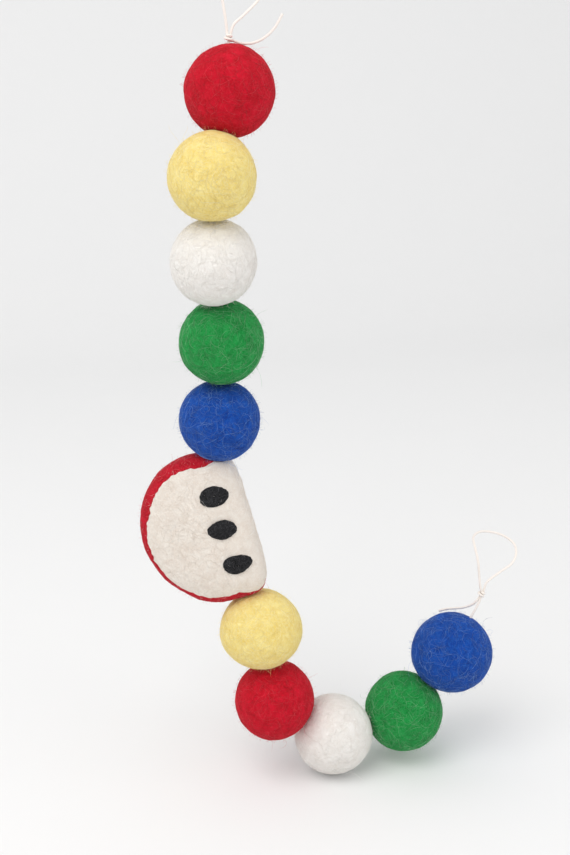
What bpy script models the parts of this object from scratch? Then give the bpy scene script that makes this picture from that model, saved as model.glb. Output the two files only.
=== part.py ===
"""Felt ball garland: ten felted wool balls and a felted apple slice on one white string.

Metres, +Z up. The origin is the inside of the top loop's highest point, where the garland
rests on what holds it. The garland hangs in the XZ plane as a J: it runs down, turns through
its lowest ball and comes up towards +X, where a second loop holds its end. The apple slice's
seeds face -Y. Nodes are numbered along the string from the top loop.
"""
import math
from collections import namedtuple

import bmesh
import bpy
from mathutils import Matrix, Vector

MM = 0.001

# Driving dimensions
STRING_RADIUS = 0.4 * MM
GAP = 0.3 * MM                     # clearance between neighbouring pieces
PRESS = 0.98                       # a ball reaches this share of its radius where it is pressed
UNEVEN = 0.15 * MM                 # height of the soft lumps in a ball's surface
KNOT_DIAMETER = 2.8 * MM
TOP_KNOT = Vector((-5.0, 0.0, -17.6)) * MM
TOP_RUN = 1.35 * MM                # string from the top knot's middle to the first ball
TOP_HEADING = (2.0, 0.0)           # its lean and tilt, in degrees
END_RUN = 8.6 * MM                 # string from the last ball to the end knot's middle
END_HEADING = (157.0, 0.0)

# Lean and tilt give the way from a piece to the next one: lean is measured from straight
# down towards +X, and tilt from there towards +Y. Length is along the string.
Bead = namedtuple("Bead", "node colour length lean tilt")
BEADS = (
    Bead("ball_01_red", "red", 25.0, -17, -14),
    Bead("ball_02_yellow", "yellow", 24.5, 2, 8),
    Bead("ball_03_white", "white", 24.6, 6.5, 8),
    Bead("ball_04_green", "green", 24.8, -1, 4),
    Bead("ball_05_blue", "blue", 24.0, 9.4, -3),
    Bead("apple", "flesh", 44.0, 9.4, -3),
    Bead("ball_06_yellow", "yellow", 25.0, 9, -3),
    Bead("ball_07_red", "red", 24.8, 53, -2),
    Bead("ball_08_white", "white", 25.0, 99, 5),
    Bead("ball_09_green", "green", 25.4, 142, -4),
    Bead("ball_10_blue", "blue", 26.0, 152, 0),
)

# Routes of the loops and free tails, in millimetres from their own knot
TOP_LOOP = ((0.5, 0.1, 0.1), (1.5, 0, 3.3), (4.3, 0, 5.8), (8.4, 0, 9.7), (10.5, 0, 13.4),
            (9.2, 0, 16.7), (5.0, 0, 18.0), (0.3, 0, 16.8), (-1.8, 0, 13.4), (-1.5, 0, 9.9),
            (-0.8, 0, 5.5), (-0.6, -0.1, 0.5))
TOP_TAIL = ((0.2, 0.3, -0.1), (1.6, 0.5, -0.8), (4.0, 0.9, -1.5), (7.4, 1.2, -1.3),
            (10.6, 1.1, 0.2), (13.2, 0.7, 2.7), (15.2, 0.2, 6.2))
END_LOOP = ((0.5, 0.1, 0.1), (1.6, -0.4, 4.0), (5.8, -0.6, 7.1), (10.0, -0.2, 9.5),
            (12.4, 2.0, 12.0), (13.0, 5.9, 14.0), (10.2, 10.2, 15.6), (4.6, 11.6, 16.6),
            (-0.2, 7.6, 16.8), (-1.9, 2.2, 15.2), (-1.6, 0.2, 11.4), (-1.0, -0.2, 5.6),
            (-0.6, -0.1, 0.5))
END_TAIL = ((0.0, 0.3, -0.1), (-0.9, 0.6, -2.2), (-2.2, 1.8, -4.3), (-4.6, 4.0, -6.1),
            (-8.0, 7.4, -7.6), (-10.4, 9.6, -9.0))
MAIN_POINTS = 80
LOOP_POINTS = 26
TAIL_POINTS = 9

# Apple slice: a half-moon hung along its cut side. In its own axes the origin is the middle
# of its outline, +X points at the cut side, Y runs from front to back and Z up the slice.
SLICE_THICKNESS = 15.0 * MM
SLICE_YAW = -18.0                  # degrees its front turns from -Y towards -X
SLICE_ROLL = 6.0                   # degrees its cut side leans away from the string
SLICE_MIDDLE = Vector((-9.6, 0.0, 1.9)) * MM      # from its middle on the string
CUT_SIDE = 13.7 * MM               # from the middle to the cut side
CURVED_SIDE = 20.3 * MM            # and to the furthest point of the curved side
HALF_HEIGHT = 23.6 * MM
CUT_POWER = 5.3                    # squareness of the outline at the cut side's corners
CURVED_POWER = 2.0
EDGE_POWER = 2.8                   # squareness of the rim in section
SKIN_THICKNESS = 1.0 * MM
SKIN_ARC = (58.0, 300.0)           # degrees round the outline from the cut side
SKIN_WRAP = (57.0, 123.0)          # degrees from the middle of the front to that of the back
SKIN_MARGIN = 3.0                  # degrees of clear groove round the skin

Seed = namedtuple("Seed", "node x z")
SEEDS = (
    Seed("apple_seed_1", 5.7, 11.5),
    Seed("apple_seed_2", 5.2, 0.9),
    Seed("apple_seed_3", 6.3, -10.9),
)
SEED_LENGTH = 8.6 * MM
SEED_WIDTH = 6.2 * MM
SEED_HEIGHT = 0.9 * MM

COLOURS = {
    "red": (0.60, 0.006, 0.018, 1.0),
    "yellow": (0.90, 0.73, 0.22, 1.0),
    "white": (0.87, 0.83, 0.78, 1.0),
    "green": (0.005, 0.26, 0.045, 1.0),
    "blue": (0.005, 0.045, 0.33, 1.0),
    "flesh": (0.83, 0.76, 0.68, 1.0),
    "skin": (0.50, 0.008, 0.025, 1.0),
    "seed": (0.008, 0.008, 0.009, 1.0),
    "string": (0.85, 0.77, 0.71, 1.0),
}


def material(name):
    made = bpy.data.materials.get(name)
    if made is None:
        made = bpy.data.materials.new(name)
        made.use_nodes = True
        shader = made.node_tree.nodes["Principled BSDF"]
        shader.inputs["Base Color"].default_value = COLOURS[name]
        shader.inputs["Roughness"].default_value = 0.6 if name == "string" else 0.95
        shader.inputs["Metallic"].default_value = 0.0
        made.diffuse_color = COLOURS[name]
    return made


def add_object(name, mesh, colour):
    placed = bpy.data.objects.new(name, mesh)
    bpy.context.collection.objects.link(placed)
    mesh.materials.clear()
    mesh.materials.append(material(colour))
    mesh.shade_smooth()
    return placed


def as_guide(guide):
    guide.hide_render = True
    guide.display_type = "WIRE"
    return guide


def boolean(target, operation, tool):
    step = target.modifiers.new(f"{operation.lower()} {tool.name}", "BOOLEAN")
    step.operation = operation
    step.solver = "EXACT"
    step.object = tool


def heading(lean, tilt):
    lean, tilt = math.radians(lean), math.radians(tilt)
    return Vector((math.sin(lean) * math.cos(tilt), math.sin(tilt),
                   -math.cos(lean) * math.cos(tilt)))


# ---------------------------------------------------------------- string

def smooth_curve(route, count):
    """Points at equal steps along a Catmull-Rom curve through the route."""
    route = [Vector(point) for point in route]
    ends = [2 * route[0] - route[1], *route, 2 * route[-1] - route[-2]]
    fine = [route[0]]
    steps = 24
    for before, start, stop, after in zip(ends, ends[1:], ends[2:], ends[3:]):
        for step in range(1, steps + 1):
            t = step / steps
            fine.append(0.5 * (2 * start + (stop - before) * t
                               + (2 * before - 5 * start + 4 * stop - after) * t ** 2
                               + (3 * start - before - 3 * stop + after) * t ** 3))
    walked = [0.0]
    for start, stop in zip(fine, fine[1:]):
        walked.append(walked[-1] + (stop - start).length)
    points = []
    piece = 0
    for number in range(count):
        target = walked[-1] * number / (count - 1)
        while piece < len(fine) - 2 and walked[piece + 1] < target:
            piece += 1
        share = (target - walked[piece]) / (walked[piece + 1] - walked[piece])
        points.append(fine[piece].lerp(fine[piece + 1], share))
    return points


def tube(name, points, radius):
    """A closed round tube along the points, as a mesh object."""
    curve = bpy.data.curves.new(name, "CURVE")
    curve.dimensions = "3D"
    curve.bevel_depth = radius
    curve.bevel_resolution = 2
    curve.use_fill_caps = True
    spline = curve.splines.new("POLY")
    spline.points.add(len(points) - 1)
    for target, point in zip(spline.points, points):
        target.co = (*point, 1.0)
    drawn = bpy.data.objects.new(name, curve)
    bpy.context.collection.objects.link(drawn)
    mesh = bpy.data.meshes.new_from_object(drawn)
    bpy.data.objects.remove(drawn)
    bm = bmesh.new()
    bm.from_mesh(mesh)
    bmesh.ops.remove_doubles(bm, verts=bm.verts, dist=0.001 * MM)   # joins the caps on
    bm.to_mesh(mesh)
    bm.free()
    return add_object(name, mesh, "string")


def knot(name, centre):
    bm = bmesh.new()
    bmesh.ops.create_icosphere(bm, subdivisions=2, radius=KNOT_DIAMETER / 2)
    bmesh.ops.translate(bm, verts=bm.verts, vec=centre)
    mesh = bpy.data.meshes.new(name)
    bm.to_mesh(mesh)
    bm.free()
    return as_guide(add_object(name, mesh, "string"))


def from_knot(centre, route):
    return [centre + Vector(offset) * MM for offset in route]


def build_string(route):
    """The run through the pieces, joined with a knot, a loop and a free tail at each end."""
    string = tube("string", smooth_curve(route, MAIN_POINTS), STRING_RADIUS)
    for end, centre, loop, tail in (("top", route[0], TOP_LOOP, TOP_TAIL),
                                    ("end", route[-1], END_LOOP, END_TAIL)):
        loop_curve = smooth_curve(from_knot(centre, loop), LOOP_POINTS)
        tail_curve = smooth_curve(from_knot(centre, tail), TAIL_POINTS)
        boolean(string, "UNION", knot(f"{end}_knot", centre))
        boolean(string, "UNION", as_guide(tube(f"{end}_loop", loop_curve, STRING_RADIUS)))
        boolean(string, "UNION", as_guide(tube(f"{end}_tail", tail_curve, STRING_RADIUS)))
    return string


# ---------------------------------------------------------------- balls

def lumps(direction, number):
    """Soft unevenness of a hand-felted ball, from -1 to 1, different for each number."""
    x, y, z = direction
    return (math.sin(3.1 * x + 2.3 * y + 1.7 * number) * math.cos(2.7 * z + 0.9 * number)
            + math.sin(4.3 * z - 1.9 * x + 2.9 * number)) / 2


def felt_ball(bead, number, centre, contacts):
    """A ball, flattened where each neighbour presses on it. A contact is a way and a reach."""
    bm = bmesh.new()
    bmesh.ops.create_icosphere(bm, subdivisions=3, radius=bead.length * MM / 2)
    for vert in bm.verts:
        vert.co += vert.co.normalized() * UNEVEN * lumps(vert.co.normalized(), number)
        for way, reach in contacts:
            past = vert.co.dot(way) - (reach - GAP / 2)
            if past > 0:
                vert.co -= way * past
    mesh = bpy.data.meshes.new(bead.node)
    bm.to_mesh(mesh)
    bm.free()
    ball = add_object(bead.node, mesh, bead.colour)
    ball.location = centre
    return ball


# ---------------------------------------------------------------- apple slice

def outline_radius(angle):
    """From the middle of the outline to its edge; the cut side is at angle 0."""
    x, z = math.cos(angle), math.sin(angle)
    reach, power = (CUT_SIDE, CUT_POWER) if x > 0 else (CURVED_SIDE, CURVED_POWER)
    return (abs(x / reach) ** power + abs(z / HALF_HEIGHT) ** power) ** (-1 / power)


def slice_surface(angle, lift):
    """A point of the slice: angle goes round the outline, lift from the front to the back."""
    rim = math.sin(lift) ** (2 / EDGE_POWER)
    depth = abs(math.cos(lift)) ** (2 / EDGE_POWER) * math.copysign(1, math.cos(lift))
    radius = outline_radius(angle) * rim
    return Vector((radius * math.cos(angle), -SLICE_THICKNESS / 2 * depth,
                   radius * math.sin(angle)))


def slice_normal(angle, lift):
    step = math.radians(0.5)
    round_way = slice_surface(angle + step, lift) - slice_surface(angle - step, lift)
    lift_way = slice_surface(angle, lift + step) - slice_surface(angle, lift - step)
    return lift_way.cross(round_way).normalized()


def inset_point(angle, lift, inset, dents):
    """A point of a layer that lies the inset below the surface, dented by the balls."""
    angle, lift = math.radians(angle), math.radians(lift)
    point = slice_surface(angle, lift) - slice_normal(angle, lift) * inset
    for centre, radius in dents:
        away = point - centre
        if away.length < radius + inset:
            point = centre + away.normalized() * (radius + inset)
    return point


def even_steps(start, stop, count):
    return [start + (stop - start) * step / count for step in range(count + 1)]


def slice_mesh(name, matrix, bm):
    bmesh.ops.recalc_face_normals(bm, faces=bm.faces)
    bm.transform(matrix)
    mesh = bpy.data.meshes.new(name)
    bm.to_mesh(mesh)
    bm.free()
    return mesh


def apple_flesh(matrix, dents):
    """The whole slice, sunk below the skin's inner face wherever the skin covers it."""
    covered = even_steps(*SKIN_ARC, 26)
    bare = even_steps(SKIN_ARC[1] + SKIN_MARGIN, SKIN_ARC[0] + 360 - SKIN_MARGIN, 12)
    front, back = SKIN_WRAP
    lifts = [18, 32, 44, front - SKIN_MARGIN, front, 73, 90, 107, back, back + SKIN_MARGIN,
             136, 148, 162]
    sunk_lifts = lifts[3:10]
    sunk_angles = [*covered, bare[0], bare[-1]]
    bm = bmesh.new()
    rings = []
    for lift in lifts:
        ring = []
        for angle in covered + bare:
            sunk = angle in sunk_angles and lift in sunk_lifts
            inset = SKIN_THICKNESS + GAP if sunk else 0
            ring.append(bm.verts.new(inset_point(angle, lift, inset, dents)))
        rings.append(ring)
    for near, far in zip(rings, rings[1:]):
        bridge(bm, near, far)
    cap(bm, rings[0], (0, -SLICE_THICKNESS / 2, 0))
    cap(bm, rings[-1], (0, SLICE_THICKNESS / 2, 0))
    return add_object("apple_flesh", slice_mesh("apple_flesh", matrix, bm), "flesh")


def bridge(bm, near, far):
    for i in range(len(near)):
        j = (i + 1) % len(near)
        bm.faces.new((near[i], near[j], far[j], far[i]))


def cap(bm, ring, middle):
    centre = bm.verts.new(middle)
    for i in range(len(ring)):
        bm.faces.new((centre, ring[i], ring[(i + 1) % len(ring)]))


def apple_skin(matrix, dents):
    """A strip of red felt round the curved side, from one end of the cut side to the other."""
    angles = even_steps(*SKIN_ARC, 26)
    lifts = [SKIN_WRAP[0], 73, 90, 107, SKIN_WRAP[1]]
    bm = bmesh.new()
    outer, inner = [
        [[bm.verts.new(inset_point(angle, lift, inset, dents)) for lift in lifts]
         for angle in angles]
        for inset in (0, SKIN_THICKNESS)]
    for sheet in (outer, inner):
        for row, after in zip(sheet, sheet[1:]):
            for i in range(len(lifts) - 1):
                bm.faces.new((row[i], row[i + 1], after[i + 1], after[i]))
    bridge(bm, edge_loop(outer), edge_loop(inner))
    return add_object("apple_skin", slice_mesh("apple_skin", matrix, bm), "skin")


def edge_loop(sheet):
    """The vertices round the border of a rectangular sheet, in order."""
    return ([row[0] for row in sheet] + sheet[-1][1:]
            + [row[-1] for row in reversed(sheet[:-1])] + sheet[0][-2:0:-1])


def front_height(x, z):
    """How far the slice's front stands out from its middle plane at a point of its outline."""
    share = math.hypot(x, z) / outline_radius(math.atan2(z, x))
    return SLICE_THICKNESS / 2 * (1 - share ** EDGE_POWER) ** (1 / EDGE_POWER)


def apple_seed(seed, matrix):
    """A flat-backed oval of black felt, a gap above the front face and domed outwards."""
    bm = bmesh.new()
    sides = 14
    layers = []
    for share, height in ((0.5, 0.0), (0.93, 0.0), (1.0, 0.25), (0.86, 0.68), (0.5, 0.95)):
        layer = []
        for i in range(sides):
            angle = math.tau * i / sides
            x = seed.x * MM + SEED_LENGTH / 2 * share * math.cos(angle)
            z = seed.z * MM + SEED_WIDTH / 2 * share * math.sin(angle)
            layer.append(bm.verts.new((x, seed_depth(x, z, height), z)))
        layers.append(layer)
    for near, far in zip(layers, layers[1:]):
        bridge(bm, near, far)
    x, z = seed.x * MM, seed.z * MM
    cap(bm, layers[0], (x, seed_depth(x, z, 0), z))
    cap(bm, layers[-1], (x, seed_depth(x, z, 1), z))
    return add_object(seed.node, slice_mesh(seed.node, matrix, bm), "seed")


def seed_depth(x, z, height):
    return -front_height(x, z) - GAP - height * SEED_HEIGHT


def slice_matrix(centre, down):
    """Stands the slice against the string, with its front turned by the yaw."""
    up = -down
    yaw = math.radians(SLICE_YAW)
    front = Vector((math.sin(yaw), -math.cos(yaw), 0))
    front = (front - up * front.dot(up)).normalized()
    on_string = Matrix((up.cross(front), -front, up)).transposed().to_4x4()
    roll = Matrix.Rotation(-math.radians(SLICE_ROLL), 4, "Y")
    return Matrix.Translation(centre) @ on_string @ roll @ Matrix.Translation(SLICE_MIDDLE)


# ---------------------------------------------------------------- whole garland

def reaches(number):
    """From a piece's middle to its contacts with the pieces before and after it."""
    half = BEADS[number].length * MM / 2
    found = []
    for other in (number - 1, number + 1):
        nodes = {BEADS[number].node, BEADS[other].node if 0 <= other < len(BEADS) else "knot"}
        found.append(half if nodes & {"apple", "knot"} else half * PRESS)
    return found


def hang_pieces():
    """Each piece's centre and its two contacts, and the string's route through them all."""
    way = heading(*TOP_HEADING)
    route = [TOP_KNOT, TOP_KNOT + way * TOP_RUN]
    placed = []
    for number, bead in enumerate(BEADS):
        before, after = reaches(number)
        centre = route[-1] + way * before
        ahead = heading(bead.lean, bead.tilt)
        placed.append((centre, [(-way, before), (ahead, after)]))
        route.append(centre + ahead * after)
        way = ahead
    route.append(route[-1] + heading(*END_HEADING) * END_RUN)
    return placed, route


def neighbour_dents(number, placed, matrix):
    """The balls on either side of the slice, as centres in its own axes and clear radii."""
    inverse = matrix.inverted()
    return [(inverse @ placed[other][0], BEADS[other].length * MM / 2 + UNEVEN + GAP)
            for other in (number - 1, number + 1)]


def main():
    for old in list(bpy.data.objects):
        bpy.data.objects.remove(old)
    placed, route = hang_pieces()
    build_string(route)
    channel_curve = smooth_curve(route, MAIN_POINTS)
    channel = as_guide(tube("channel", channel_curve, STRING_RADIUS + GAP))
    threaded = []
    for number, (bead, (centre, contacts)) in enumerate(zip(BEADS, placed)):
        if bead.node == "apple":
            matrix = slice_matrix(centre, heading(bead.lean, bead.tilt))
            dents = neighbour_dents(number, placed, matrix)
            threaded += [apple_flesh(matrix, dents), apple_skin(matrix, dents)]
            for seed in SEEDS:
                apple_seed(seed, matrix)
        else:
            threaded.append(felt_ball(bead, number, centre, contacts))
    for piece in threaded:
        boolean(piece, "DIFFERENCE", channel)


main()
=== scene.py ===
"""Felt ball garland: the looks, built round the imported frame.

Ten needle-felted balls, a felted apple slice and the string they hang on. Every felt piece is a
dense uneven mesh with a fibre material, and carries its own coat of wool fibres as fine tubes:
fibres that lie on it, short fuzz that stands out from it, and a few long stray hairs.
Lengths are in metres, and MM turns millimetres into metres.
"""
import math
from collections import namedtuple

import bmesh
import bpy
import numpy as np
from mathutils import Matrix, Vector
from mathutils.bvhtree import BVHTree


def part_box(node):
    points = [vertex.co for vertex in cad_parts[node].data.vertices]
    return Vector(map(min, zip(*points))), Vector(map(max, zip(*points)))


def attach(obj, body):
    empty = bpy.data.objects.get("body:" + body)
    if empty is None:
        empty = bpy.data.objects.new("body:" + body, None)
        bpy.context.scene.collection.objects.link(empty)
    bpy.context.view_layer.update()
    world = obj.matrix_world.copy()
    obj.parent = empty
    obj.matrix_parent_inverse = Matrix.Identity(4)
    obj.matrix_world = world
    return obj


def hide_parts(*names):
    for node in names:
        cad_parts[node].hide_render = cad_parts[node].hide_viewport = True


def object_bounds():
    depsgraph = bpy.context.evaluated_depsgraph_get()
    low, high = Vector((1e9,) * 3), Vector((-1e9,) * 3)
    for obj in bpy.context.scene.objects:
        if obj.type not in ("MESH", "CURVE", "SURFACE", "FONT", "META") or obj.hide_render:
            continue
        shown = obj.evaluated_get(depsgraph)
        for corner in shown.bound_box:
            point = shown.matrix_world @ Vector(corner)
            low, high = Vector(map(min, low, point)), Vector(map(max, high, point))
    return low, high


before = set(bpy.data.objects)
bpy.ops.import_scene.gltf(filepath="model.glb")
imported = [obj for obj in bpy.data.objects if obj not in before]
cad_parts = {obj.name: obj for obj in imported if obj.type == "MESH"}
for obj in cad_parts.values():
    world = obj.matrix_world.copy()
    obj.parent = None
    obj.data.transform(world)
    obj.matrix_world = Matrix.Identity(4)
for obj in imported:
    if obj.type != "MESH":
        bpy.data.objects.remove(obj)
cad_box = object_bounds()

MM = 0.001

# ---------------------------------------------------------------- camera, light and stage

CAMERA_AZIMUTH = -15.0
CAMERA_ELEVATION = 16.7
CAMERA_DISTANCE = 379 * MM
CAMERA_TARGET = Vector((10.5, -1.2, -128.2)) * MM
CAMERA_LENS = 53.8                 # for a sensor 36 mm on its long side
FLOOR_CLEARANCE = 0.4 * MM         # the lowest ball hangs just clear of the floor


def set_camera():
    azimuth, elevation = math.radians(CAMERA_AZIMUTH), math.radians(CAMERA_ELEVATION)
    back = Vector((math.sin(azimuth) * math.cos(elevation),
                   -math.cos(azimuth) * math.cos(elevation), math.sin(elevation)))
    data = bpy.data.cameras.new("camera")
    data.lens = CAMERA_LENS
    data.sensor_width = 36
    data.clip_start = 0.01
    camera = bpy.data.objects.new("camera", data)
    camera.location = CAMERA_TARGET + back * CAMERA_DISTANCE
    camera.rotation_euler = back.to_track_quat("Z", "Y").to_euler()
    bpy.context.collection.objects.link(camera)
    bpy.context.scene.camera = camera


def area_light(name, place, size, power, colour=(1, 1, 1)):
    """A square lamp at a place given from the garland's middle, aimed at it."""
    data = bpy.data.lights.new(name, "AREA")
    data.size = size
    data.energy = power
    data.color = colour
    lamp = bpy.data.objects.new(name, data)
    lamp.location = CAMERA_TARGET + Vector(place)
    lamp.rotation_euler = Vector(place).to_track_quat("Z", "Y").to_euler()
    bpy.context.collection.objects.link(lamp)


def set_light():
    world = bpy.data.worlds.new("studio")
    world.use_nodes = True
    background = world.node_tree.nodes["Background"]
    background.inputs["Color"].default_value = (1.0, 1.0, 1.0, 1.0)
    background.inputs["Strength"].default_value = 0.80
    bpy.context.scene.world = world
    area_light("key", (-0.45, -0.35, 0.75), 0.7, 4.3, (1.0, 0.985, 0.96))
    area_light("fill", (0.7, -0.6, 0.35), 0.8, 1.5)
    bpy.context.scene.view_settings.view_transform = "Standard"


def build_stage():
    """A pale floor that curves up into a backdrop."""
    floor_z = cad_box[0][2] - FLOOR_CLEARANCE
    front, back, curve, top, half = -1.2, 0.55, 0.35, 1.4, 1.6
    profile = [(front, floor_z), (back, floor_z)]
    for step in range(1, 17):
        angle = math.pi / 2 * step / 16
        profile.append((back + curve * math.sin(angle), floor_z + curve * (1 - math.cos(angle))))
    profile.append((back + curve, floor_z + top))
    bm = bmesh.new()
    rows = [[bm.verts.new((x, y, z)) for x in (-half, half)] for y, z in profile]
    for near, far in zip(rows, rows[1:]):
        bm.faces.new((near[0], near[1], far[1], far[0]))
    mesh = bpy.data.meshes.new("floor")
    bm.to_mesh(mesh)
    bm.free()
    mesh.shade_smooth()
    mesh.materials.append(floor_material())
    floor = bpy.data.objects.new("floor", mesh)
    bpy.context.collection.objects.link(floor)


# ---------------------------------------------------------------- materials

# The strand colour and its share paint the felt's strand lines lighter: partly the wool's own paler
# fibres, partly a painted highlight of fibres catching the light.
Felt = namedtuple("Felt", "base deep strand strand_mix fuzz_dark fuzz_light sheen")
# The pale fibre colour is partly the wool's own paler fibres and partly a painted highlight of fibres
# catching the light; it also tints the sheen.
FELTS = {
    "red": Felt((0.60, 0.004, 0.022), (0.40, 0.002, 0.008), (0.72, 0.03, 0.05), 0.35,
                (0.42, 0.003, 0.012), (0.80, 0.08, 0.10), 0.12),
    "yellow": Felt((0.93, 0.76, 0.26), (0.82, 0.60, 0.13), (0.98, 0.88, 0.50), 0.45,
                   (0.86, 0.66, 0.20), (0.99, 0.93, 0.62), 0.15),
    "white": Felt((0.90, 0.87, 0.83), (0.80, 0.75, 0.70), (0.95, 0.94, 0.92), 0.45,
                  (0.82, 0.78, 0.73), (0.98, 0.97, 0.95), 0.15),
    "green": Felt((0.004, 0.27, 0.045), (0.002, 0.15, 0.022), (0.07, 0.45, 0.14), 0.45,
                  (0.003, 0.18, 0.03), (0.30, 0.62, 0.34), 0.12),
    "blue": Felt((0.004, 0.055, 0.36), (0.002, 0.024, 0.20), (0.03, 0.16, 0.58), 0.45,
                 (0.002, 0.03, 0.24), (0.24, 0.40, 0.76), 0.12),
    "flesh": Felt((0.86, 0.79, 0.71), (0.76, 0.66, 0.57), (0.93, 0.89, 0.84), 0.40,
                  (0.80, 0.70, 0.61), (0.97, 0.95, 0.92), 0.15),
    "skin": Felt((0.52, 0.006, 0.022), (0.33, 0.002, 0.008), (0.70, 0.04, 0.06), 0.45,
                 (0.36, 0.003, 0.012), (0.85, 0.20, 0.20), 0.12),
    "seed": Felt((0.010, 0.010, 0.011), (0.004, 0.004, 0.004), (0.06, 0.06, 0.065), 0.5,
                 (0.008, 0.008, 0.009), (0.12, 0.12, 0.13), 0.08),
}


def start_material(name):
    made = bpy.data.materials.new(name)
    made.use_nodes = True
    return made, made.node_tree, made.node_tree.nodes["Principled BSDF"]


def node(tree, kind, inputs=None, **settings):
    """Adds a node. Inputs maps socket names or numbers to a value or to another node's output."""
    made = tree.nodes.new(kind)
    for key, value in settings.items():
        setattr(made, key, value)
    for key, value in (inputs or {}).items():
        if isinstance(value, bpy.types.NodeSocket):
            tree.links.new(value, made.inputs[key])
        else:
            made.inputs[key].default_value = value
    return made


def math_node(tree, operation, first, second=0.0):
    return node(tree, "ShaderNodeMath", {0: first, 1: second}, operation=operation).outputs[0]


def mix_colour(tree, share, first, second):
    mixed = node(tree, "ShaderNodeMix", {"Factor": share}, data_type="RGBA")
    for socket, value in (("A", first), ("B", second)):
        target = next(s for s in mixed.inputs if s.name == socket and s.type == "RGBA")
        if isinstance(value, bpy.types.NodeSocket):
            tree.links.new(value, target)
        else:
            target.default_value = (*value, 1.0)
    return next(s for s in mixed.outputs if s.type == "RGBA")


def in_millimetres(tree):
    place = node(tree, "ShaderNodeTexCoord").outputs["Object"]
    return node(tree, "ShaderNodeMapping", {"Vector": place, "Scale": (1000, 1000, 1000)}).outputs[0]


def noise(tree, place, scale, detail=2.0, distortion=0.0):
    made = node(tree, "ShaderNodeTexNoise",
                {"Vector": place, "Scale": scale, "Detail": detail, "Distortion": distortion})
    return made.outputs[0]


def strands(tree, place, shift, scale, bend, width):
    """Thin curly lines, 1 on a line and 0 off it: where a smooth noise crosses its middle."""
    moved = node(tree, "ShaderNodeMapping", {"Vector": place, "Location": shift}).outputs[0]
    across = math_node(tree, "SUBTRACT", noise(tree, moved, scale, 1.0, bend), 0.5)
    span = {"Value": math_node(tree, "ABSOLUTE", across),
            "From Min": 0.0, "From Max": width, "To Min": 1.0, "To Max": 0.0}
    return node(tree, "ShaderNodeMapRange", span, interpolation_type="SMOOTHSTEP").outputs[0]


def felt_material(kind):
    felt = FELTS[kind]
    made, tree, shader = start_material(f"felt_{kind}")
    place = in_millimetres(tree)
    layers = [strands(tree, place, (0, 0, 0), 0.42, 1.2, 0.022),
              strands(tree, place, (31, 7, 13), 0.75, 0.9, 0.030),
              strands(tree, place, (5, 43, 29), 1.3, 0.7, 0.045),
              strands(tree, place, (17, 23, 61), 2.1, 0.5, 0.060)]
    coat = layers[0]
    for layer in layers[1:]:
        coat = math_node(tree, "MAXIMUM", coat, layer)
    mottle = noise(tree, place, 0.35, 4.0, 0.6)
    grain_and_pit_shade = noise(tree, place, 3.2, 3.0, 0.8)
    depth = node(tree, "ShaderNodeMapRange",
                 {"Value": mottle, "From Min": 0.32, "From Max": 0.66}).outputs[0]
    ground = mix_colour(tree, depth, felt.deep, felt.base)
    # Painted shade between fibres: the felt stays darker where the fine grain, which also gives the
    # bump its height, sits low.
    ground = mix_colour(tree, math_node(tree, "MULTIPLY", grain_and_pit_shade, 0.35), ground, felt.base)
    # The strand lines are painted lighter than the felt: partly the wool's own paler fibres, partly a
    # painted highlight of fibres catching the light.
    strand_highlight_cover = math_node(tree, "MULTIPLY", coat, felt.strand_mix)
    tree.links.new(mix_colour(tree, strand_highlight_cover, ground, felt.strand), shader.inputs["Base Color"])
    height = math_node(tree, "ADD", math_node(tree, "MULTIPLY", coat, 0.6), grain_and_pit_shade)
    bump = node(tree, "ShaderNodeBump", {"Height": height, "Strength": 0.7, "Distance": 0.00016})
    tree.links.new(bump.outputs[0], shader.inputs["Normal"])
    rough = node(tree, "ShaderNodeMapRange",
                 {"Value": grain_and_pit_shade, "To Min": 0.82, "To Max": 1.0}).outputs[0]
    tree.links.new(rough, shader.inputs["Roughness"])
    shader.inputs["Specular IOR Level"].default_value = 0.15
    shader.inputs["Sheen Weight"].default_value = felt.sheen
    shader.inputs["Sheen Roughness"].default_value = 0.45
    shader.inputs["Sheen Tint"].default_value = (*felt.fuzz_light, 1.0)
    return made


def fibre_material(kind):
    """Wool fibres, from dark to light by the tone that each was given; the light end is partly the
    wool's own paler fibres, partly a painted highlight.
    """
    felt = FELTS[kind]
    made, tree, shader = start_material(f"fibre_{kind}")
    tone = node(tree, "ShaderNodeAttribute", attribute_name="tone").outputs["Fac"]
    patch = noise(tree, in_millimetres(tree), 0.6, 2.0)
    share = math_node(tree, "ADD", tone, math_node(tree, "MULTIPLY", patch, 0.2))
    share = math_node(tree, "SUBTRACT", share, 0.1)
    colour = mix_colour(tree, share, felt.fuzz_dark, felt.fuzz_light)
    tree.links.new(colour, shader.inputs["Base Color"])
    shader.inputs["Roughness"].default_value = 0.7
    shader.inputs["Specular IOR Level"].default_value = 0.3
    return made


def string_material():
    """White cord of three plies, with faint fibre texture along them."""
    made, tree, shader = start_material("string_white")
    place = in_millimetres(tree)
    flecks = noise(tree, place, 6.0, 3.0, 0.5)
    broad = noise(tree, place, 0.5, 2.0)
    colour = mix_colour(tree, flecks, (0.78, 0.70, 0.63), (0.95, 0.90, 0.86))
    colour = mix_colour(tree, math_node(tree, "MULTIPLY", broad, 0.3), colour, (0.90, 0.86, 0.82))
    tree.links.new(colour, shader.inputs["Base Color"])
    bump = node(tree, "ShaderNodeBump", {"Height": flecks, "Strength": 0.5, "Distance": 0.00004})
    tree.links.new(bump.outputs[0], shader.inputs["Normal"])
    shader.inputs["Roughness"].default_value = 0.55
    shader.inputs["Specular IOR Level"].default_value = 0.3
    shader.inputs["Sheen Weight"].default_value = 0.1
    return made


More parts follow.
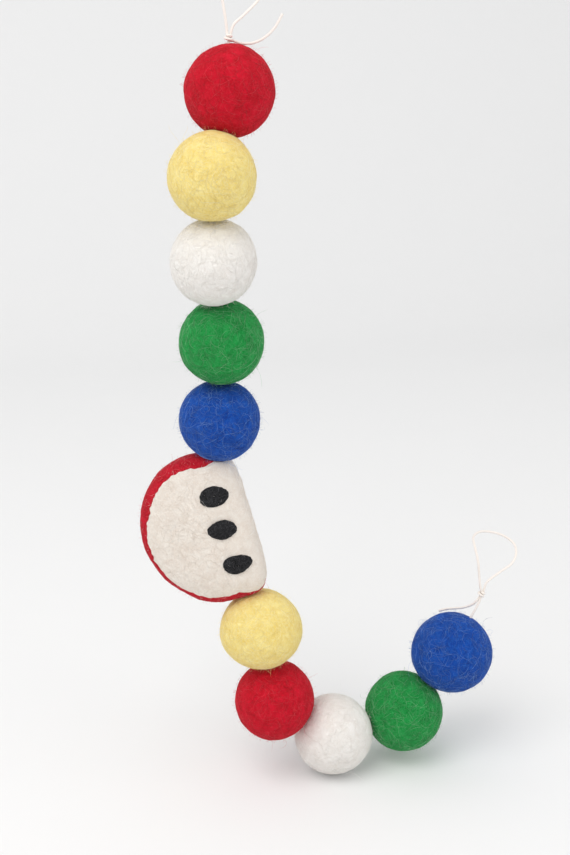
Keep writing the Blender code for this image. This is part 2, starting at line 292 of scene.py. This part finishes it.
def floor_material():
    made, tree, shader = start_material("floor_pale")
    paper = noise(tree, in_millimetres(tree), 0.02, 2.0)
    colour = mix_colour(tree, paper, (0.845, 0.848, 0.852), (0.855, 0.856, 0.858))
    tree.links.new(colour, shader.inputs["Base Color"])
    shader.inputs["Roughness"].default_value = 0.9
    shader.inputs["Specular IOR Level"].default_value = 0.1
    return made


# ---------------------------------------------------------------- mesh helpers

def mesh_piece(name, points, quads, triangles, material, tone=None):
    """A visible piece from arrays of points and faces, riding on the garland's one body."""
    points = np.asarray(points, dtype=np.float32).reshape(-1, 3)
    quads = np.asarray(quads, dtype=np.int32).reshape(-1, 4)
    triangles = np.asarray(triangles, dtype=np.int32).reshape(-1, 3)
    corners = np.concatenate([quads.ravel(), triangles.ravel()])
    starts = np.concatenate([np.arange(len(quads)) * 4,
                             len(quads) * 4 + np.arange(len(triangles)) * 3])
    mesh = bpy.data.meshes.new(name)
    mesh.vertices.add(len(points))
    mesh.vertices.foreach_set("co", points.ravel())
    mesh.loops.add(len(corners))
    mesh.loops.foreach_set("vertex_index", corners)
    mesh.polygons.add(len(starts))
    mesh.polygons.foreach_set("loop_start", starts.astype(np.int32))
    if tone is not None:
        shades = mesh.attributes.new("tone", "FLOAT", "POINT")
        shades.data.foreach_set("value", np.asarray(tone, dtype=np.float32))
    mesh.update(calc_edges=True)
    mesh.validate()
    mesh.shade_smooth()
    mesh.materials.append(material)
    piece = bpy.data.objects.new(name, mesh)
    bpy.context.collection.objects.link(piece)
    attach(piece, "root")
    return piece


def waves(points, seed, count, slowest, fastest):
    """Smooth noise of about -1 to 1 at each point: sine waves that run in many directions."""
    random = np.random.default_rng(seed)
    ways = random.normal(size=(count, 3))
    ways *= (random.uniform(slowest, fastest, count) / np.linalg.norm(ways, axis=1))[:, None]
    phases = random.uniform(0, math.tau, count)
    return np.sin(points @ ways.T + phases).sum(axis=-1) / math.sqrt(count)


def grid_faces(rows, columns, closed):
    """Quads of a grid of points, row by row; a closed grid joins its last column to its first."""
    row, column = np.meshgrid(np.arange(rows - 1), np.arange(columns if closed else columns - 1),
                              indexing="ij")
    after = (column + 1) % columns
    return np.stack([row * columns + column, row * columns + after,
                     (row + 1) * columns + after, (row + 1) * columns + column],
                    axis=-1).reshape(-1, 4)


def grid_poles(points):
    """The two end points of a closed grid, and the triangles that join them to it."""
    rows, columns = points.shape[:2]
    poles = np.array([points[0].mean(axis=0), points[-1].mean(axis=0)])
    ring = np.arange(columns)
    after = (ring + 1) % columns
    count = rows * columns
    caps = np.concatenate([
        np.stack([np.full(columns, count), ring, after], axis=1),
        np.stack([np.full(columns, count + 1), count - columns + after,
                  count - columns + ring], axis=1)])
    return poles, caps


# ---------------------------------------------------------------- wool fibres

Coat = namedtuple("Coat", "lying lying_length lying_width curl lift fuzz fuzz_length fuzz_width "
                          "strays stray_length tone tone_spread")
STRAY_WIDTH = 0.045                # in millimetres
PLAIN_COAT = Coat(lying=950, lying_length=5.0, lying_width=0.075, curl=0.33, lift=0.06,
                  fuzz=620, fuzz_length=1.5, fuzz_width=0.035,
                  strays=10, stray_length=7.0, tone=0.45, tone_spread=0.28)


def surface_samples(piece, random, count):
    """Points spread evenly over a piece's surface, with the outward normals there."""
    mesh = piece.data
    mesh.calc_loop_triangles()
    corners = np.empty(len(mesh.loop_triangles) * 3, dtype=np.int32)
    mesh.loop_triangles.foreach_get("vertices", corners)
    points = np.empty(len(mesh.vertices) * 3, dtype=np.float32)
    mesh.vertices.foreach_get("co", points)
    a, b, c = points.reshape(-1, 3)[corners.reshape(-1, 3)].astype(float).transpose(1, 0, 2)
    cross = np.cross(b - a, c - a)
    area = np.linalg.norm(cross, axis=1)
    picked = random.choice(len(area), size=count, p=area / area.sum())
    u, v = np.sqrt(random.uniform(size=count)), random.uniform(size=count)
    spots = ((1 - u)[:, None] * a[picked] + (u * (1 - v))[:, None] * b[picked]
             + (u * v)[:, None] * c[picked])
    return spots, cross[picked] / area[picked][:, None]


def crawl(tree, random, spots, normals, steps, stride, curl):
    """Paths that run over the surface from each spot, each turning at its own steady rate."""
    paths, outs = [], []
    for spot, normal in zip(spots, normals):
        place, out = Vector(spot), Vector(normal)
        way = out.cross(Vector(random.normal(size=3))).normalized()
        turn = random.normal(0, curl)
        path, path_outs = [], []
        for _ in range(steps):
            path.append(place)
            path_outs.append(out)
            way.rotate(Matrix.Rotation(turn + random.normal(0, 0.12), 3, out))
            place, out = tree.find_nearest(place + way * stride)[:2]
            way = (way - out * way.dot(out)).normalized()
        paths.append(path)
        outs.append(path_outs)
    return np.array(paths), np.array(outs)


def spring(random, spots, normals, steps, stride, curl, upright):
    """Paths that leave the surface and bend freely in the air."""
    count = len(spots)
    aside = np.cross(normals, random.normal(size=(count, 3)))
    aside /= np.linalg.norm(aside, axis=1)[:, None]
    way = normals * upright + aside * (1 - upright)
    way /= np.linalg.norm(way, axis=1)[:, None]
    axis = random.normal(size=(count, 3))
    axis /= np.linalg.norm(axis, axis=1)[:, None]
    turn = random.normal(0, curl, count)[:, None]
    place = spots.copy()
    paths = []
    for _ in range(steps):
        paths.append(place)
        way = way + np.cross(axis, way) * turn + random.normal(0, 0.10, (count, 3))
        way /= np.linalg.norm(way, axis=1)[:, None]
        place = place + way * stride
    return np.array(paths).transpose(1, 0, 2)


def fibre_tubes(paths, outs, width, taper):
    """Closed three-sided tubes along many paths of equal count: points, quads, triangles."""
    count, steps = paths.shape[:2]
    along = np.gradient(paths, axis=1)
    along /= np.maximum(np.linalg.norm(along, axis=2, keepdims=True), 1e-12)
    across = np.cross(along, outs)
    across /= np.maximum(np.linalg.norm(across, axis=2, keepdims=True), 1e-12)
    over = np.cross(across, along)
    share = np.linspace(0, 1, steps)
    radius = width / 2 * (1 - taper * np.abs(2 * share - 1) ** 3)
    radius = np.broadcast_to(radius, (count, steps)) * np.ones((count, 1))
    rings = []
    for corner in range(3):
        angle = math.pi / 2 + math.tau * corner / 3
        rings.append(paths + radius[..., None] * (over * math.sin(angle) + across * math.cos(angle)))
    points = np.stack(rings, axis=2).reshape(-1, 3)
    base = (np.arange(count) * steps * 3)[:, None, None]
    ring = (np.arange(steps - 1) * 3)[None, :, None]
    side = np.arange(3)[None, None, :]
    after = (side + 1) % 3
    quads = np.stack([base + ring + side, base + ring + 3 + side,
                      base + ring + 3 + after, base + ring + after], axis=-1)
    first = (np.arange(count) * steps * 3)[:, None]
    last = first + (steps - 1) * 3
    triangles = np.concatenate([first + [0, 1, 2], last + [2, 1, 0]])
    return points, quads.reshape(-1, 4), triangles


def grow_coat(piece, kind, coat, seed):
    """Covers a felt piece in wool fibres, all in one mesh that goes with it."""
    random = np.random.default_rng(seed)
    mesh = piece.data
    corners = [tuple(face.vertices) for face in mesh.polygons]
    tree = BVHTree.FromPolygons([vert.co.copy() for vert in mesh.vertices], corners)
    parts = []
    spots, normals = surface_samples(piece, random, coat.lying)
    steps = 7
    stride = coat.lying_length * MM / (steps - 1)
    paths, outs = crawl(tree, random, spots, normals, steps, stride, coat.curl)
    arch = np.sin(np.linspace(0, math.pi, steps)) * random.uniform(0, coat.lift * MM, (coat.lying, 1))
    paths = paths + outs * (arch + 0.01 * MM)[..., None]
    tone = np.clip(random.normal(coat.tone, coat.tone_spread, coat.lying), 0, 1)
    parts.append((paths, outs, coat.lying_width * MM, 0.8, tone))
    for count, length, steps, curl, upright, width in (
            (coat.fuzz, coat.fuzz_length, 5, 0.35, 0.62, coat.fuzz_width),
            (coat.strays, coat.stray_length, 18, 0.22, 0.45, STRAY_WIDTH)):
        spots, normals = surface_samples(piece, random, count)
        stride = length * MM / (steps - 1)
        paths = spring(random, spots - normals * 0.05 * MM, normals, steps, stride, curl, upright)
        outs = np.broadcast_to(normals[:, None, :], paths.shape)
        outs = outs + 0.001 * random.normal(size=paths.shape)
        # Standing fuzz and stray hairs get a lighter tone than lying fibres: painted highlight of
        # fibres that catch the light.
        tone = np.clip(random.normal(coat.tone + 0.15, coat.tone_spread, count), 0, 1)
        parts.append((paths, outs, width * MM, 0.9, tone))
    points, quads, triangles, tones = [], [], [], []
    offset = 0
    for paths, outs, width, taper, tone in parts:
        found, found_quads, found_triangles = fibre_tubes(paths, outs, width, taper)
        points.append(found)
        quads.append(found_quads + offset)
        triangles.append(found_triangles + offset)
        tones.append(np.repeat(tone, paths.shape[1] * 3))
        offset += len(found)
    return mesh_piece(f"fibres_{piece.name}", np.concatenate(points), np.concatenate(quads),
                      np.concatenate(triangles), fibre_material(kind),
                      np.concatenate(tones))


# ---------------------------------------------------------------- felt balls

Ball = namedtuple("Ball", "node kind centre radius")
BALL_COLOURS = ("red", "yellow", "white", "green", "blue",
                "yellow", "red", "white", "green", "blue")
APPLE_AFTER = 5                    # the slice hangs below this many balls
LUMP = 0.16 * MM                   # broad unevenness of a ball
DIMPLE = 0.05 * MM                 # small unevenness
PRESS_SOFTNESS = 0.25 * MM
PRESS_GAP = 0.03 * MM


def find_balls():
    balls = []
    for number, kind in enumerate(BALL_COLOURS):
        node_name = f"ball_{number + 1:02d}_{kind}"
        low, high = (np.array(corner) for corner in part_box(node_name))
        balls.append(Ball(node_name, kind, (low + high) / 2, (high - low).max() / 2))
    return balls


def unit_sphere(levels):
    bm = bmesh.new()
    bmesh.ops.create_icosphere(bm, subdivisions=levels, radius=1.0)
    points = np.array([vert.co for vert in bm.verts])
    faces = np.array([[vert.index for vert in face.verts] for face in bm.faces])
    bm.free()
    return points, faces


def build_ball(number, balls, sphere):
    ball = balls[number]
    ways, faces = sphere
    seed = 100 + number
    radius = (ball.radius - 0.3 * LUMP + LUMP * waves(ways, seed, 9, 1.5, 4.5)
              + DIMPLE * waves(ways, seed + 50, 26, 8, 18))
    points = ways * radius[:, None]
    for other in (number - 1, number + 1):
        if 0 <= other < len(balls) and {number, other} != {APPLE_AFTER - 1, APPLE_AFTER}:
            way = balls[other].centre - ball.centre
            apart = np.linalg.norm(way)
            way = way / apart
            reach = (apart + ball.radius - balls[other].radius) / 2 - PRESS_GAP
            past = points @ way - reach
            points -= np.outer((past + np.sqrt(past ** 2 + PRESS_SOFTNESS ** 2)) / 2, way)
    piece = mesh_piece(f"felt_{ball.node}", points + ball.centre, [], faces,
                       felt_material(ball.kind))
    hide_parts(ball.node)
    return piece


# ---------------------------------------------------------------- string

STRING_RADIUS = 0.4 * MM
PLIES = 3
PLY_DEPTH = 0.09                   # share of the radius that the twist's grooves go in
PLY_PITCH = 2.6 * MM
RING_STEP = 0.28 * MM
RING_SIDES = 12
TOP_KNOT = np.array((-5.0, 0.0, -17.6)) * MM
TOP_LEAN = 2.0                     # degrees from straight down towards +X
TOP_RUN = 1.35 * MM
END_LEAN = 157.0
END_EXIT_LEAN = 152.0
END_RUN = 8.6 * MM

# Routes of the loops and free tails, in millimetres from their own knot
TOP_LOOP = ((0.5, 0.1, 0.1), (1.5, 0, 3.3), (4.3, 0, 5.8), (8.4, 0, 9.7), (10.5, 0, 13.4),
            (9.2, 0, 16.7), (5.0, 0, 18.0), (0.3, 0, 16.8), (-1.8, 0, 13.4), (-1.5, 0, 9.9),
            (-0.8, 0, 5.5), (-0.4, 0, 2.2))
TOP_TAIL = ((1.6, 0.5, -0.8), (4.0, 0.9, -1.5), (7.4, 1.2, -1.3), (10.6, 1.1, 0.2),
            (13.2, 0.7, 2.7), (15.2, 0.2, 6.2))
END_LOOP = ((0.5, 0.1, 0.1), (1.6, -0.4, 4.0), (5.8, -0.6, 7.1), (10.0, -0.2, 9.5),
            (12.4, 2.0, 12.0), (13.0, 5.9, 14.0), (10.2, 10.2, 15.6), (4.6, 11.6, 16.6),
            (-0.2, 7.6, 16.8), (-1.9, 2.2, 15.2), (-1.6, 0.2, 11.4), (-1.0, -0.2, 5.6),
            (-0.5, -0.2, 2.2))
END_TAIL = ((-1.2, 0.7, -2.6), (-2.2, 1.8, -4.3), (-4.6, 4.0, -6.1), (-8.0, 7.4, -7.6),
            (-10.4, 9.6, -9.0))
WRAP_RADIUS = 0.86 * MM
WRAP_TURNS = 1.6
WRAP_HEIGHT = 1.5 * MM
WRAP_START = 200                   # degrees


def lean_way(lean):
    return np.array((math.sin(math.radians(lean)), 0.0, -math.cos(math.radians(lean))))


def smooth_curve(route, step):
    """Points about a step apart along a Catmull-Rom curve through the route."""
    route = np.asarray(route, dtype=float)
    ends = np.vstack([2 * route[0] - route[1], route, 2 * route[-1] - route[-2]])
    t = np.linspace(0, 1, 24, endpoint=False)[:, None]
    fine = []
    for before, start, stop, after in zip(ends, ends[1:], ends[2:], ends[3:]):
        fine.append(0.5 * (2 * start + (stop - before) * t
                           + (2 * before - 5 * start + 4 * stop - after) * t ** 2
                           + (3 * start - before - 3 * stop + after) * t ** 3))
    fine = np.vstack([*fine, route[-1]])
    walked = np.concatenate([[0], np.cumsum(np.linalg.norm(np.diff(fine, axis=0), axis=1))])
    even = np.linspace(0, walked[-1], max(2, round(walked[-1] / step)))
    return np.stack([np.interp(even, walked, fine[:, axis]) for axis in range(3)], axis=1)


def knot_wrap(centre, up, start_angle):
    """The turns that a free tail makes round the knot, from the top of the knot down."""
    up = up / np.linalg.norm(up)
    side = np.cross((0, 1, 0), up)
    side /= np.linalg.norm(side)
    front = np.cross(up, side)
    points = []
    count = 14
    for number in range(count + 1):
        share = number / count
        angle = math.radians(start_angle) + math.tau * WRAP_TURNS * share
        radius = WRAP_RADIUS * min(1.0, 0.45 + 3 * share)
        points.append(centre + up * WRAP_HEIGHT * (0.5 - share)
                      + radius * (side * math.cos(angle) + front * math.sin(angle)))
    return points


def from_knot(knot, route):
    return [knot + np.array(point) * MM for point in route]


def string_route(balls):
    """The whole string in order, from the top tail's free end to the end tail's."""
    through = [TOP_KNOT + lean_way(TOP_LEAN) * TOP_RUN]
    for before, after in zip(balls, balls[1:]):
        way = after.centre - before.centre
        apart = np.linalg.norm(way)
        if after is balls[APPLE_AFTER]:
            through.append(before.centre + way / apart * before.radius)
            through.append(after.centre - way / apart * after.radius)
        else:
            through.append(before.centre + way * (apart + before.radius - after.radius) / 2 / apart)
    last = balls[-1].centre + lean_way(END_EXIT_LEAN) * balls[-1].radius
    end_knot = last + lean_way(END_LEAN) * END_RUN
    through.append(last)
    top_wrap = knot_wrap(TOP_KNOT, np.array((0, 0, 1)), WRAP_START)
    end_wrap = knot_wrap(end_knot, lean_way(END_LEAN), WRAP_START)
    route = [*from_knot(TOP_KNOT, TOP_TAIL)[::-1], *top_wrap[::-1],
             *from_knot(TOP_KNOT, TOP_LOOP)[::-1], *through,
             *from_knot(end_knot, END_LOOP), *end_wrap, *from_knot(end_knot, END_TAIL)]
    return route


def build_string(balls):
    line = smooth_curve(string_route(balls), RING_STEP)
    along = np.gradient(line, axis=0)
    along /= np.linalg.norm(along, axis=1)[:, None]
    across = np.cross(along[0], (0.3, 1.0, 0.2))
    sides = []
    for way in along:
        across = across - way * across.dot(way)
        across /= np.linalg.norm(across)
        sides.append(across)
    sides = np.array(sides)
    overs = np.cross(along, sides)
    length = np.linalg.norm(np.diff(line, axis=0), axis=1).sum()
    twist = np.linspace(0, length / PLY_PITCH * math.tau, len(line))
    points = []
    for side in range(RING_SIDES):
        angle = math.tau * side / RING_SIDES
        groove = 1 - PLY_DEPTH * (1 - np.abs(np.sin(PLIES * (angle + twist / PLIES) / 2)))
        radius = (STRING_RADIUS * groove)[:, None]
        points.append(line + radius * (sides * math.cos(angle) + overs * math.sin(angle)))
    points = np.stack(points, axis=1).reshape(-1, 3)
    quads = grid_faces(len(line), RING_SIDES, True)
    ends = np.array([line[0], line[-1]])
    ring = np.arange(RING_SIDES)
    after = (ring + 1) % RING_SIDES
    tail = (len(line) - 1) * RING_SIDES
    caps = np.concatenate([
        np.stack([np.full(RING_SIDES, len(points)), after, ring], axis=1),
        np.stack([np.full(RING_SIDES, len(points) + 1), tail + ring, tail + after], axis=1)])
    piece = mesh_piece("cord_string", np.vstack([points, ends]), quads, caps,
                       string_material())
    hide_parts("string")
    return piece


# ---------------------------------------------------------------- apple slice

SLICE_THICKNESS = 15.0 * MM
SLICE_YAW = -18.0                  # degrees its front turns from -Y towards -X
SLICE_ROLL = 6.0                   # degrees its cut side leans away from the string
SLICE_MIDDLE = Vector((-9.6, 0.0, 1.9)) * MM      # from its middle on the string
CUT_SIDE = 13.7 * MM
CURVED_SIDE = 20.3 * MM
HALF_HEIGHT = 23.6 * MM
CUT_POWER = 5.3
CURVED_POWER = 2.0
EDGE_POWER = 2.8
SKIN_ARC = (58.0, 301.0)           # degrees round the outline from the cut side
SKIN_FRONT = 57.0                  # lift of the skin's front border, in degrees
SKIN_THICKNESS = 0.5 * MM          # depth of the step in the flesh under the skin
SKIN_EDGE = 0.03 * MM              # how far in the skin's inner side lies at its border
SKIN_DEPTH = 0.45 * MM             # and how much further in away from the border
FLESH_LUMP = 0.16 * MM
SEEDS = ((5.7, 11.5), (5.2, 0.9), (6.3, -10.9))   # x and z in the slice, in millimetres
SEED_LENGTH = 8.6 * MM
SEED_WIDTH = 6.2 * MM
SEED_HEIGHT = 0.75 * MM


def slice_frame(balls):
    """The slice's own axes: +X to the cut side, Y from front to back, Z up the slice."""
    above, below = balls[APPLE_AFTER - 1], balls[APPLE_AFTER]
    down = below.centre - above.centre
    apart = np.linalg.norm(down)
    down = down / apart
    centre = above.centre + down * (apart + above.radius - below.radius) / 2
    up = Vector(-down)
    yaw = math.radians(SLICE_YAW)
    front = Vector((math.sin(yaw), -math.cos(yaw), 0))
    front = (front - up * front.dot(up)).normalized()
    on_string = Matrix((up.cross(front), -front, up)).transposed().to_4x4()
    roll = Matrix.Rotation(-math.radians(SLICE_ROLL), 4, "Y")
    return Matrix.Translation(centre) @ on_string @ roll @ Matrix.Translation(SLICE_MIDDLE)


def outline_radius(angle):
    x, z = np.cos(angle), np.sin(angle)
    reach = np.where(x > 0, CUT_SIDE, CURVED_SIDE)
    power = np.where(x > 0, CUT_POWER, CURVED_POWER)
    return (np.abs(x / reach) ** power + np.abs(z / HALF_HEIGHT) ** power) ** (-1 / power)


def slice_surface(angle, lift):
    """Points of the plain slice: angle goes round the outline, lift from front to back."""
    rim = np.abs(np.sin(lift)) ** (2 / EDGE_POWER)
    depth = np.abs(np.cos(lift)) ** (2 / EDGE_POWER) * np.sign(np.cos(lift))
    radius = outline_radius(angle) * rim
    return np.stack([radius * np.cos(angle), -SLICE_THICKNESS / 2 * depth,
                     radius * np.sin(angle)], axis=-1)


def slice_normal(angle, lift):
    step = 0.008
    round_way = slice_surface(angle + step, lift) - slice_surface(angle - step, lift)
    lift_way = slice_surface(angle, lift + step) - slice_surface(angle, lift - step)
    cross = np.cross(lift_way, round_way)
    return cross / np.linalg.norm(cross, axis=-1, keepdims=True)


def slice_layer(angle, lift, inset, dents):
    """Points the inset below the slice's uneven surface, clear of the balls that dent it."""
    plain = slice_surface(angle, lift)
    uneven = (FLESH_LUMP * waves(plain / MM, 7, 14, 0.25, 0.8)
              + 0.25 * FLESH_LUMP * waves(plain / MM, 8, 30, 1.5, 3.5))
    points = plain + slice_normal(angle, lift) * (uneven - inset)[..., None]
    for centre, radius in dents:
        away = points - centre
        apart = np.linalg.norm(away, axis=-1, keepdims=True)
        clear = radius + inset[..., None]
        points = np.where(apart < clear, centre + away / apart * clear, points)
    return points


def skin_border(angle):
    """Lift of the skin's front border at each angle: uneven, and drawn in to a point at the ends."""
    share = (angle - math.radians(SKIN_ARC[0])) / math.radians(SKIN_ARC[1] - SKIN_ARC[0])
    circle = np.stack([np.cos(angle), np.sin(angle), np.zeros_like(angle)], axis=-1)
    ragged = 2.0 * waves(circle, 21, 12, 3, 14) + 1.1 * waves(circle, 22, 30, 30, 90)
    border = SKIN_FRONT + ragged
    for end, reach in ((share, 0.07), (1 - share, 0.10)):
        closing = np.clip(1 - end / reach, 0, 1) ** 2
        border = border + (88 - border) * closing
    return np.radians(border)


def covered(angle, lift):
    """How much of the skin's thickness lies over a point: 1 under the skin, 0 outside it."""
    start, stop = (math.radians(edge) for edge in SKIN_ARC)
    turned = np.mod(angle - start, math.tau) + start
    inside = (turned < stop)
    border = skin_border(np.where(inside, turned, start + 0.01))
    from_edge = np.minimum(lift, math.pi - lift) - border
    ends = np.minimum(turned - start, stop - turned)
    share = np.minimum(from_edge / math.radians(7), ends / math.radians(5))
    return np.where(inside, np.clip(share, 0, 1), 0)


def build_flesh(matrix, dents):
    columns, rows = 300, 110
    angle = np.arange(columns) / columns * math.tau
    lift = np.linspace(0, math.pi, rows + 2)[1:-1]
    lift, angle = np.meshgrid(lift, angle, indexing="ij")
    inset = covered(angle, lift) * (SKIN_THICKNESS + 0.05 * MM)
    points = slice_layer(angle, lift, inset, dents)
    for x, z in SEEDS:
        near = ((points[..., 0] / MM - x) / 5.2) ** 2 + ((points[..., 2] / MM - z) / 4.0) ** 2
        points[..., 1] += np.where(points[..., 1] < 0, 0.35 * MM * np.exp(-near ** 2), 0)
    poles, caps = grid_poles(points)
    quads = grid_faces(rows, columns, True)[:, ::-1]
    piece = mesh_piece("felt_apple_flesh", placed(matrix, np.vstack([points.reshape(-1, 3), poles])),
                       quads, caps, felt_material("flesh"))
    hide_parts("apple_flesh")
    return piece


def placed(matrix, points):
    matrix = np.array(matrix)
    return points @ matrix[:3, :3].T + matrix[:3, 3]


def build_skin(matrix, dents):
    """A closed thin layer of red felt over the curved side, thinning out at its border."""
    columns, rows = 420, 44
    angle = np.radians(np.linspace(*SKIN_ARC, columns))
    border = skin_border(angle)
    share = np.linspace(0, 1, rows)[:, None]
    lift = border + (math.pi - 2 * border) * share
    angle = np.broadcast_to(angle, lift.shape)
    over = covered(angle, lift)
    outer = slice_layer(angle, lift, np.zeros_like(lift), dents)
    outer += slice_normal(angle, lift) * (0.10 * MM * np.sqrt(over))[..., None]
    inner = slice_layer(angle, lift, SKIN_EDGE + over * SKIN_DEPTH, dents)
    points = np.concatenate([outer.reshape(-1, 3), inner.reshape(-1, 3)])
    faces = grid_faces(rows, columns, False)
    count = rows * columns
    edge = np.concatenate([np.arange(columns), np.arange(1, rows) * columns + columns - 1,
                           (rows - 1) * columns + np.arange(columns - 2, -1, -1),
                           np.arange(rows - 2, 0, -1) * columns])
    after = np.roll(edge, -1)
    walls = np.stack([edge, after, after + count, edge + count], axis=1)
    quads = np.concatenate([faces[:, ::-1], faces + count, walls])
    piece = mesh_piece("felt_apple_skin", placed(matrix, points), quads, [],
                       felt_material("skin"))
    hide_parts("apple_skin")
    return piece


def front_height(x, z):
    share = np.hypot(x, z) / outline_radius(np.arctan2(z, x))
    return SLICE_THICKNESS / 2 * (1 - share ** EDGE_POWER) ** (1 / EDGE_POWER)


def build_seed(number, matrix):
    """An uneven oval of black felt, domed out of the front face."""
    x0, z0 = (value * MM for value in SEEDS[number])
    columns, rows = 72, 16
    angle = np.arange(columns) / columns * math.tau
    lift = np.linspace(0, math.pi, rows + 2)[1:-1]
    lift, angle = np.meshgrid(lift, angle, indexing="ij")
    circle = np.stack([np.cos(angle), np.sin(angle), np.zeros_like(angle)], axis=-1)
    ragged = (1 + 0.05 * waves(circle, 61 + number, 9, 2, 5)
              + 0.02 * waves(circle, 71 + number, 20, 9, 24))
    share = np.sin(lift) ** 0.7 * ragged
    x = x0 + SEED_LENGTH / 2 * share * np.cos(angle)
    z = z0 + SEED_WIDTH / 2 * share * np.sin(angle)
    domed = np.where(lift < math.pi / 2, np.abs(np.cos(lift)) ** 0.8, 0.6 * np.cos(lift))
    y = -front_height(x, z) + 0.15 * MM - SEED_HEIGHT * domed
    points = np.stack([x, y, z], axis=-1)
    points[..., 1] += 0.06 * MM * waves(points / MM, 81 + number, 16, 1.2, 3.0)
    poles, caps = grid_poles(points)
    piece = mesh_piece(f"felt_apple_seed_{number + 1}",
                       placed(matrix, np.vstack([points.reshape(-1, 3), poles])),
                       grid_faces(rows, columns, True)[:, ::-1], caps, felt_material("seed"))
    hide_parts(f"apple_seed_{number + 1}")
    return piece


# ---------------------------------------------------------------- whole garland

def main():
    set_camera()
    set_light()
    build_stage()
    balls = find_balls()
    build_string(balls)
    sphere = unit_sphere(6)
    for number, ball in enumerate(balls):
        piece = build_ball(number, balls, sphere)
        grow_coat(piece, ball.kind, PLAIN_COAT, 200 + number)
    matrix = slice_frame(balls)
    inverse = np.array(matrix.inverted())
    dents = [(placed(inverse, ball.centre), ball.radius + LUMP)
             for ball in balls[APPLE_AFTER - 1:APPLE_AFTER + 1]]
    flesh = build_flesh(matrix, dents)
    grow_coat(flesh, "flesh", PLAIN_COAT, 300)
    skin = build_skin(matrix, dents)
    grow_coat(skin, "skin", PLAIN_COAT._replace(lying=500, fuzz=350), 301)
    seed_coat = PLAIN_COAT._replace(lying=90, lying_length=2.4, fuzz=60, fuzz_length=0.8, strays=0)
    for number in range(3):
        seed = build_seed(number, matrix)
        grow_coat(seed, "seed", seed_coat, 310 + number)


main()
